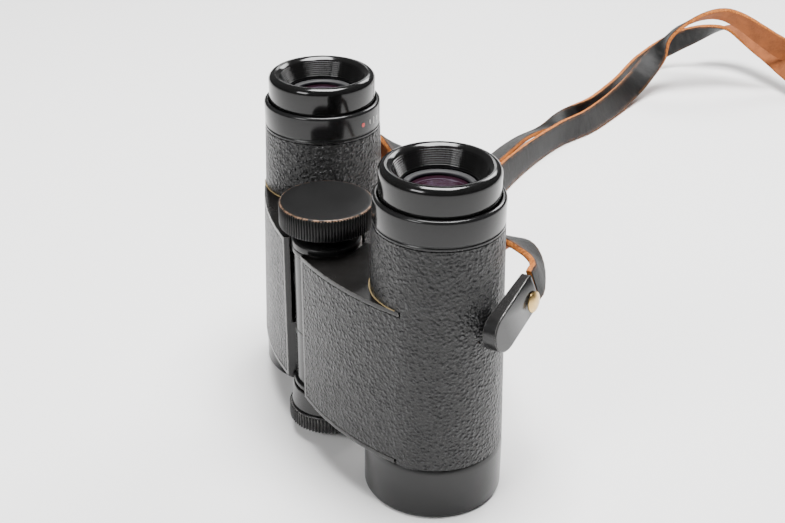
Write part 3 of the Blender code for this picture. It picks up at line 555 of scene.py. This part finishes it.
def make_strap():
    section = band_section()
    bm = bmesh.new()
    bmesh.ops.create_grid(bm, x_segments=len(stations) - 1, y_segments=len(section), size=1)
    band = bm.verts.layers.float_vector.new("band")
    run = [0.0]
    for one, other in zip(strap_path, strap_path[1:]):
        run.append(run[-1] + (other - one).length)
    for vert in bm.verts:
        number = round((vert.co.x + 1) / 2 * (len(stations) - 1))
        across, through = section[round((vert.co.y + 1) / 2 * len(section)) % len(section)]
        before = strap_path[max(number - 1, 0)]
        after = strap_path[min(number + 1, len(stations) - 1)]
        along = (after - before).normalized()
        upright = (Vector((0, 0, 1)) - along.z * along).normalized()
        lean = radians(stations[number].w)
        edge_way = cos(lean) * upright + sin(lean) * upright.cross(along)
        vert[band] = (run[number], across, through)
        fuzz = noise.noise(Vector((run[number] * 900, across * 900, through * 900)))
        if abs(across) > STRAP_WIDTH / 2 - 0.0006:
            across += fuzz * 0.00012
        through += 0.00005 * noise.noise(Vector((run[number] * 160, across * 90, 3.0)))
        vert.co = strap_path[number] + across * edge_way + through * along.cross(edge_way)
    bmesh.ops.remove_doubles(bm, verts=bm.verts, dist=MERGE / 4)
    bmesh.ops.holes_fill(bm, edges=[e for e in bm.edges if e.is_boundary], sides=0)
    bmesh.ops.recalc_face_normals(bm, faces=bm.faces)
    return bm


strap_bm = make_strap()
print("strap faces:", len(strap_bm.faces))

# %% [markdown]
# ## From bmesh to a finished piece
# Every piece ends the same way: smooth shading with its sharp edges marked, a finish, a
# body to ride on, and the CAD node it stands for. One helper does that for all of them.

# %% The helper that finishes a piece
def sharpen(bm, degrees=32):
    for face in bm.faces:
        face.smooth = True
    for edge in bm.edges:
        edge.smooth = edge.is_manifold and edge.calc_face_angle(0) < radians(degrees)


def piece(bm, name, finish, body=None, node=None, rides=True):
    """Turn a bmesh into an object that rides on a body and stands for a CAD node."""
    mesh = bpy.data.meshes.new(name)
    bm.to_mesh(mesh)
    bm.free()
    for spare in ("custom_normal", "UVMap"):
        if spare in mesh.attributes:
            mesh.attributes.remove(mesh.attributes[spare])
    mesh.materials.clear()
    mesh.materials.append(FINISHES[finish])
    made = bpy.data.objects.new(name, mesh)
    bpy.context.scene.collection.objects.link(made)
    if node:
        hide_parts(node)
        body = body or body_of(frame["nodes"][node])[0]
    if rides:
        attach(made, body)
    return made


sharpen(strap_bm, 60)
strap = piece(strap_bm, "carrying_strap", "strap_leather", node="strap", rides=False)
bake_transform(strap, "left_half", "right_half",
         start=(-0.0200, AXES_Y + 0.0350, 0.0450), end=(-0.0320, AXES_Y + 0.0190, 0.0610))
print("strap declared")

# %% [markdown]
# ## Castings, coverings, lugs and rivets
# These shapes are already right in the CAD model, but it comes as loose flat triangles.
# A copy of each is welded and shaded smooth, so that the curved walls look round and the
# real edges stay crisp.

# %% Weld copies of the CAD shapes
def welded(node, name, finish, degrees=30):
    bm = bmesh.new()
    bm.from_mesh(frame["nodes"][node].data)
    bmesh.ops.remove_doubles(bm, verts=bm.verts, dist=MERGE)
    sharpen(bm, degrees)
    return piece(bm, name, finish, None, node)


for side in OPTICAL:
    welded(f"{side}_body", f"{side}_casting", "black_enamel")
    welded(f"{side}_cover", f"{side}_covering", "leatherette", 40)
    welded(f"{side}_lug", f"{side}_strap_lug", "lug_enamel", 40)
    welded(f"{side}_lug_rivet", f"{side}_rivet", "brass", 50)
print("castings, coverings, lugs and rivets welded")

# %% [markdown]
# ## Turned pieces
# A turned piece is a profile of radius and height, spun round an upright axis. Its ring
# edges are then bevelled a little, because no real edge is perfectly sharp, and it is
# that tiny round that catches a line of light.

# %% The helper for turned pieces
def turned(profile, axis, steps=96, soften=0.00012):
    bm = bmesh.new()
    corners = [bm.verts.new((radius, 0, height)) for radius, height in profile]
    following = corners[1:] + (corners[:1] if profile[0][0] > 0 else [])
    edges = [bm.edges.new(pair) for pair in zip(corners, following)]
    bmesh.ops.spin(bm, geom=corners + edges, axis=(0, 0, 1), cent=(0, 0, 0),
                   angle=2 * pi, steps=steps, use_merge=True)
    bmesh.ops.remove_doubles(bm, verts=bm.verts, dist=MERGE)
    bmesh.ops.recalc_face_normals(bm, faces=bm.faces)
    if soften:
        sharp = [e for e in bm.edges if e.is_manifold and e.calc_face_angle(0) > radians(28)]
        bmesh.ops.bevel(bm, geom=sharp, offset=soften, offset_type="OFFSET", segments=2,
                        profile=0.5, affect="EDGES", clamp_overlap=True, material=-1)
    bmesh.ops.translate(bm, verts=bm.verts, vec=axis)
    sharpen(bm)
    return bm


def arc(centre_r, centre_z, radius, start, end, steps):
    """Profile points on a circle, from start to end in degrees."""
    points = []
    for step in range(steps + 1):
        angle = radians(start + (end - start) * step / steps)
        points.append((centre_r + radius * cos(angle), centre_z + radius * sin(angle)))
    return points


def ridges(start, end, count, depth):
    """Profile points from start to end with a row of fine ridges, sunk by depth."""
    points = []
    for number in range(count):
        for share, sink in ((0.00, 0), (0.55, 0), (0.65, depth), (0.90, depth)):
            part = (number + share) / count
            points.append((start[0] + (end[0] - start[0]) * part + sink,
                           start[1] + (end[1] - start[1]) * part))
    return points + [end]


def repaint(bm, axis, within):
    """Give the second finish to the faces that are this close to the axis."""
    for face in bm.faces:
        if (face.calc_center_median() - axis).xy.length < within:
            face.material_index = 1


print("turning helper ready")

# %% [markdown]
# ## Eyecups
# Each eyecup is one moulding: a broad rolled rim, a short skirt that slides in the ring
# below, and a funnel down to the lens with fine concentric grooves that stop stray light.

# %% Turn the eyecups
def eyecup(side):
    low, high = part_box(f"{side}_eyecup")
    outer = (high.x - low.x) / 2
    roll_radius = 0.0021
    wall = 0.0014
    bore = 0.0103
    crest = outer - roll_radius
    rim = [(crest - 0.0012, high.z - 0.0007), (crest - 0.0006, high.z - 0.0002)]
    rim += arc(crest, high.z - roll_radius, roll_radius, 90, 0, 14)
    web = high.z - 0.0064
    skirt = [(outer, low.z), (outer - wall, low.z), (outer - wall, web), (bore, web)]
    funnel = ridges((bore, web + 0.0011), (crest - 0.0016, high.z - 0.0010), 8, 0.0002)
    bm = turned(rim + skirt + funnel, OPTICAL[side], 128, 0.00006)
    repaint(bm, OPTICAL[side], crest - 0.0014)
    made = piece(bm, f"{side}_eyecup_moulding", "hard_plastic", None, f"{side}_eyecup")
    made.data.materials.append(FINISHES["funnel_plastic"])
    return made


for side in OPTICAL:
    cup = eyecup(side)
    print(cup.name, len(cup.data.polygons), "faces")

# %% [markdown]
# ## Lenses and the rings that hold them
# A lens seen from outside is a shallow dome, so a few rings of a parabola do. The thin
# ring that locks the eye lens is bare metal, and shows as a bright line.

# %% Turn the lenses
OBJECTIVE_RING_BORE = 0.0155
EYE_RING_WALL = 0.0016


def lens(node, name, axis, bulge):
    low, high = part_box(node)
    radius = (high.x - low.x) / 2
    top = high.z - bulge
    bottom = low.z + bulge
    steps = 12
    shares = [step / steps for step in range(steps)]
    upper = [(radius * share, top + bulge * (1 - share ** 2)) for share in shares]
    lower = [(radius * share, bottom - bulge * (1 - share ** 2)) for share in shares]
    profile = upper + [(radius, top), (radius, bottom)] + lower[::-1]
    return piece(turned(profile, axis, 96, 0), name, "coated_glass", None, node)


def lens_ring(node, name, axis, finish):
    low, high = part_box(node)
    outer = (high.x - low.x) / 2
    inner = outer - EYE_RING_WALL if "eye" in node else OBJECTIVE_RING_BORE
    slope = (high.z - low.z) * 0.4
    profile = [(outer, high.z), (outer, low.z), (inner, low.z), (inner, high.z - slope),
               (inner + 0.0003, high.z)]
    bm = turned(profile, axis, 96, 0.00005)
    repaint(bm, axis, inner + 0.00025)
    made = piece(bm, name, "inner_black", None, node)
    made.data.materials.append(FINISHES[finish])
    return made


for side, axis in OPTICAL.items():
    lens(f"{side}_eye_lens", f"{side}_eye_glass", axis, 0.0008)
    lens(f"{side}_objective_lens", f"{side}_objective_glass", axis, 0.0009)
    lens_ring(f"{side}_eye_lens_ring", f"{side}_eye_glass_ring", axis, "bright_steel")
    lens_ring(f"{side}_objective_lock_ring", f"{side}_objective_glass_ring", axis,
              "inner_black")
print("lenses and lens rings turned")

# %% [markdown]
# ## Eyepiece rings and objective ends
# The eyepiece ring is a plain anodised sleeve with a rounded top edge. Low down it has a
# thin turned line. The right one is the dioptre ring, which turns. The objective end is
# an enamelled hood with a soft shoulder under the covering and threads inside for a filter.

# %% Turn the rings
def eyepiece_ring(side, node):
    low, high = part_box(node)
    outer = (high.x - low.x) / 2
    seam = high.z - 0.0082
    spigot = 0.0147
    wall = 0.0014
    mouth = 0.0163
    edge = 0.0009
    profile = arc(outer - edge, high.z - edge, edge, 90, 0, 6)
    profile += [(outer, seam + 0.0013), (outer - 0.0002, seam + 0.0011),
                (outer - 0.0002, seam + 0.0008), (outer, seam + 0.0006), (outer, seam),
                (spigot, seam), (spigot, low.z), (spigot - wall, low.z),
                (spigot - wall, seam + 0.0006), (mouth, seam + 0.0006), (mouth, high.z)]
    bm = turned(profile, OPTICAL[side], 128, 0.00008)
    return piece(bm, f"{side}_eyepiece_sleeve", f"{side}_ring_finish", None, node)


def objective_end(side):
    node = f"{side}_objective_ring"
    low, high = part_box(node)
    outer = (high.x - low.x) / 2
    seam = 0.0161
    shoulder = seam - 0.0012
    hood = 0.0170
    hood_floor = 0.0141
    spigot = 0.0147
    wall = 0.0009
    profile = [(outer - 0.0005, seam), (outer - 0.0004, seam - 0.0002), (outer - 0.0001, shoulder),
               (outer, shoulder - 0.0004), (outer, 0.0009), (outer - 0.0004, 0.0002),
               (outer - 0.0009, 0), (hood + 0.0007, 0)]
    profile += ridges((hood, 0.0007), (hood, 0.0062), 8, 0.00020)
    profile += [(hood, hood_floor), (spigot - wall, hood_floor), (spigot - wall, high.z),
                (spigot, high.z), (spigot, seam)]
    bm = turned(profile, OPTICAL[side], 128, 0.00008)
    return piece(bm, f"{side}_objective_end", "black_enamel", None, node)


eyepiece_ring("left", "left_eyepiece_ring")
eyepiece_ring("right", "right_dioptre_ring")
for side in OPTICAL:
    objective_end(side)
print("rings turned")

# %% [markdown]
# ## Marks on the dioptre ring
# The right eyepiece is set with a mark: a red dot of paint on the ring, and short white
# lines beside it. They are thin inlays that stand a hair proud of the metal, so they ride
# with the ring. A plate is bent round the ring by moving its points onto the cylinder.

# %% Lay the marks
def inlay(name, finish, angle, height, width, tall, is_round=False):
    low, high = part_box("right_dioptre_ring")
    radius = (high.x - low.x) / 2
    bm = bmesh.new()
    if is_round:
        bmesh.ops.create_circle(bm, cap_ends=True, segments=24, radius=0.5)
    else:
        bmesh.ops.create_grid(bm, x_segments=4, y_segments=2, size=0.5)
    raised = bmesh.ops.extrude_face_region(bm, geom=bm.faces[:])
    for item in raised["geom"]:
        if isinstance(item, bmesh.types.BMVert):
            item.co.z += 1
    for vert in bm.verts:
        turn = radians(angle) + vert.co.x * width / radius
        reach = radius - 0.00010 + vert.co.z * 0.00013
        centre = OPTICAL["right"]
        vert.co = (centre.x + reach * cos(turn), centre.y + reach * sin(turn),
                   height + vert.co.y * tall)
    bmesh.ops.recalc_face_normals(bm, faces=bm.faces)
    sharpen(bm)
    return piece(bm, name, finish, "dioptre_ring", None)


DOT_ANGLE = 19.7
MARK_Z = 0.0868
inlay("dioptre_dot", "red_paint", DOT_ANGLE, MARK_Z, 0.0013, 0.0013, True)
for number in range(3):
    inlay(f"dioptre_line_{number}", "white_paint", DOT_ANGLE + 10 + number * 7, MARK_Z,
          0.0003, 0.0022 if number == 1 else 0.0014)
print("marks laid")

# %% [markdown]
# ## Focusing knob
# A drum with straight ribs round it, so that a finger grips it. The ribs could be cut with
# a Boolean, but it is quicker and cleaner to stand 96 narrow bars in the drum's wall: a
# single bevelled bar, duplicated by a spin.

# %% Turn the knob and stand its ribs
def add_ribs(bm, axis, radius, bottom, top, count, width, depth):
    """A ring of upright bars with rounded backs, half sunk in a drum."""
    bar = bmesh.ops.create_cone(bm, cap_ends=True, segments=8, radius1=width / 2,
                                radius2=width / 2, depth=top - bottom)["verts"]
    bmesh.ops.scale(bm, vec=(2 * depth / width, 1, 1), verts=bar)
    ends = [edge for edge in {e for v in bar for e in v.link_edges}
            if abs(edge.verts[0].co.z - edge.verts[1].co.z) < MERGE]
    bmesh.ops.bevel(bm, geom=ends, offset=0.00012, offset_type="OFFSET", segments=1,
                    profile=0.5, affect="EDGES", clamp_overlap=True, material=-1)
    bar = [v for v in bm.verts if v.co.xy.length < width * 2 and v.is_valid]
    bmesh.ops.translate(bm, verts=bar, vec=(radius - depth, 0, (bottom + top) / 2))
    geometry = bar + [e for e in bm.edges if e.verts[0] in bar] + [
        f for f in bm.faces if all(v in bar for v in f.verts)]
    bmesh.ops.spin(bm, geom=geometry, axis=(0, 0, 1), cent=(0, 0, 0), angle=2 * pi,
                   steps=count, use_duplicate=True)
    bmesh.ops.translate(bm, verts=bm.verts, vec=axis)


def ribbed(profile, axis, ribs):
    """A turned drum joined with its ribs in one mesh."""
    rib_bm = bmesh.new()
    add_ribs(rib_bm, axis, *ribs)
    sharpen(rib_bm, 50)
    spare = bpy.data.meshes.new("ribs")
    rib_bm.to_mesh(spare)
    rib_bm.free()
    bm = turned(profile, axis)
    bm.from_mesh(spare)
    return bm


def focusing_knob():
    low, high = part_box("focus_knob")
    radius = (high.x - low.x) / 2
    top = high.z
    drum = radius - 0.0005
    drum_bottom = top - 0.0071
    boss = 0.0066
    boss_bottom = top - 0.0106
    neck = 0.0050
    profile = [(0, top - 0.0001), (0.0118, top), (drum, top), (drum + 0.0002, top - 0.0003),
               (drum, top - 0.0006), (drum, top - 0.0066), (drum - 0.0005, drum_bottom),
               (boss, drum_bottom), (boss, boss_bottom), (neck, boss_bottom), (neck, low.z),
               (0, low.z)]
    ribs = (radius, top - 0.0067, top - 0.0003, 96, 0.00056, 0.00040)
    piece(ribbed(profile, HINGE, ribs), "focusing_knob", "knob_finish", None, "focus_knob")
    print("knob radius", round(radius, 4))


focusing_knob()

# %% [markdown]
# ## Hinge fittings
# The column between the barrels is a stack of turned parts: a collar under the knob, a
# washer and a plug under the knuckles, and a ribbed screw cap at the bottom.

# %% Turn the hinge fittings
def box_profile(node, outer, inner, edge):
    low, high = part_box(node)
    return [(outer - edge, high.z), (outer, high.z - edge), (outer, low.z + edge),
            (outer - edge, low.z), (inner, low.z), (inner, high.z)]


def collar():
    low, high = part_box("hinge_collar")
    outer, groove, spigot, bore = 0.0100, 0.0098, 0.0073, 0.0053
    seat = 0.0609
    profile = [(0.0096, high.z), (outer, high.z - 0.0004), (outer, 0.0629), (groove, 0.0627),
               (groove, 0.0625), (outer, 0.0623), (outer, seat), (spigot, seat),
               (spigot, low.z), (bore, low.z), (bore, high.z)]
    piece(turned(profile, HINGE), "collar", "anodised", None, "hinge_collar")


def washer():
    profile = box_profile("hinge_washer", 0.0104, 0.0076, 0.0003)
    piece(turned(profile, HINGE), "washer", "anodised", None, "hinge_washer")


def end_plug():
    low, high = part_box("hinge_end_plug")
    spigot, socket, seat, socket_end = 0.0073, 0.0032, 0.0160, 0.0150
    profile = [(0, high.z), (spigot, high.z), (spigot, seat), (0.0106, seat), (0.0108, 0.0158),
               (0.0113, low.z + 0.0006), (0.0114, low.z + 0.0002), (0.0112, low.z),
               (socket, low.z), (socket, socket_end), (0, socket_end)]
    piece(turned(profile, HINGE), "end_plug", "black_enamel", None, "hinge_end_plug")


def screw_cap():
    low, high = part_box("front_cap")
    outer, socket = 0.0117, 0.0032
    crown = low.z + 0.0015
    profile = [(0.0114, high.z), (outer, high.z - 0.0004), (outer, low.z + 0.0007),
               (0.0111, low.z), (0, low.z), (0, crown), (socket, crown), (socket, high.z)]
    ribs = ((high.x - low.x) / 2, low.z + 0.0005, high.z - 0.0004, 72, 0.00070, 0.00045)
    piece(ribbed(profile, HINGE, ribs), "screw_cap", "anodised", None, "front_cap")


collar()
washer()
end_plug()
screw_cap()
print("hinge fittings turned")

# %% [markdown]
# ## Glue line
# The covering was glued on by hand, and a little yellowish glue shows where the barrel's
# covering meets the flat shelf of the wing. It is a thin uneven bead: a small circle,
# spun round the optical axis over the part of the turn that the shelf takes.

# %% Spin the glue beads
def glue_bead(side):
    shelf = 0.0637
    radius = 0.01815
    bm = bmesh.new()
    ring = bmesh.ops.create_circle(bm, segments=8, radius=0.00020)["verts"]
    bmesh.ops.rotate(bm, verts=ring, cent=(0, 0, 0), matrix=Matrix.Rotation(pi / 2, 3, "X"))
    bmesh.ops.translate(bm, verts=ring, vec=(radius, 0, shelf))
    start = radians(166 if side == "left" else -114)
    bmesh.ops.rotate(bm, verts=ring, cent=(0, 0, 0), matrix=Matrix.Rotation(start, 3, "Z"))
    bmesh.ops.spin(bm, geom=bm.verts[:] + bm.edges[:], axis=(0, 0, 1), cent=(0, 0, 0),
                   angle=radians(128), steps=80)
    bmesh.ops.holes_fill(bm, edges=[e for e in bm.edges if e.is_boundary], sides=0)
    for vert in bm.verts:
        swell = 0.7 + 1.1 * noise.noise(vert.co.xyz * 420)
        vert.co.z = shelf + (vert.co.z - shelf) * swell
    bmesh.ops.translate(bm, verts=bm.verts, vec=OPTICAL[side])
    bmesh.ops.recalc_face_normals(bm, faces=bm.faces)
    sharpen(bm, 60)
    return piece(bm, f"{side}_glue_bead", "old_glue", f"{side}_half", None)


for side in OPTICAL:
    glue_bead(side)
print("glue beads spun")

# %% [markdown]
# ## Pieces inside
# The prisms, their cages, the focusing cells and the spindle are sealed in. Their CAD
# shapes are right, so they only get a finish.

# %% Finish the inner pieces
INNER = {"prism_cage": "inner_black", "erecting_prism": "clear_glass",
         "roof_prism": "clear_glass", "field_stop": "inner_black",
         "focusing_cell": "inner_black", "focusing_lens": "clear_glass",
         "eyepiece_cell": "inner_black", "field_lens": "clear_glass"}
inner_nodes = {f"{side}_{name}": finish for side in OPTICAL for name, finish in INNER.items()}
inner_nodes.update({"hinge_bush": "bright_steel", "focus_spindle": "bright_steel",
                    "cap_stud": "bright_steel"})
for node, finish in inner_nodes.items():
    for material_slot in frame["nodes"][node].material_slots:
        material_slot.material = FINISHES[finish]
print("inner pieces:", len(inner_nodes))

# %% [markdown]
# ## Floor and light
# The binoculars stand on a seamless white sweep in soft light from all round. A plain
# large floor and a dim even sky do part of it. Three large soft lamps add most of the
# light and the crisp highlights on the glossy rims, and two small ones far behind stand
# in for window panes.

# %% Lay the floor and hang the lamps
def floor():
    bm = bmesh.new()
    bmesh.ops.create_grid(bm, x_segments=1, y_segments=1, size=4)
    mesh = bpy.data.meshes.new("floor")
    bm.to_mesh(mesh)
    bm.free()
    finish = Finish("floor")
    finish.shade(base_color=(0.86, 0.855, 0.85, 1), roughness=0.9)
    mesh.materials.append(finish.material)
    made = bpy.data.objects.new("floor", mesh)
    bpy.context.scene.collection.objects.link(made)


def lamp(name, place, target, size, power):
    data = bpy.data.lights.new(name, "AREA")
    data.shape = "RECTANGLE"
    data.size, data.size_y = size
    data.energy = power
    made = bpy.data.objects.new(name, data)
    made.location = place
    made.rotation_euler = (Vector(target) - Vector(place)).to_track_quat("-Z", "Y").to_euler()
    bpy.context.scene.collection.objects.link(made)


floor()
lamp("overhead", (-0.05, 0.10, 1.0), (0, 0.05, 0), (0.55, 0.45), 34)
lamp("front_window", (0.35, -1.0, 0.75), (0, 0, 0.03), (0.45, 0.35), 9)
lamp("back_window", (-0.60, 1.0, 0.90), (0, 0.1, 0), (0.5, 0.4), 12)
for number in (-1, 1):
    lamp(f"small_window_{number}", (-0.75 + 0.055 * number, 0.43 + 0.10 * number, 0.53),
         (0, 0, 0.09), (0.19, 0.15), 0.5)
world = bpy.data.worlds.new("sky")
world.use_nodes = True
background = world.node_tree.nodes["Background"]
background.inputs["Color"].default_value = (1, 1, 1, 1)
background.inputs["Strength"].default_value = 0.16
bpy.context.scene.world = world
print("lamps hung")
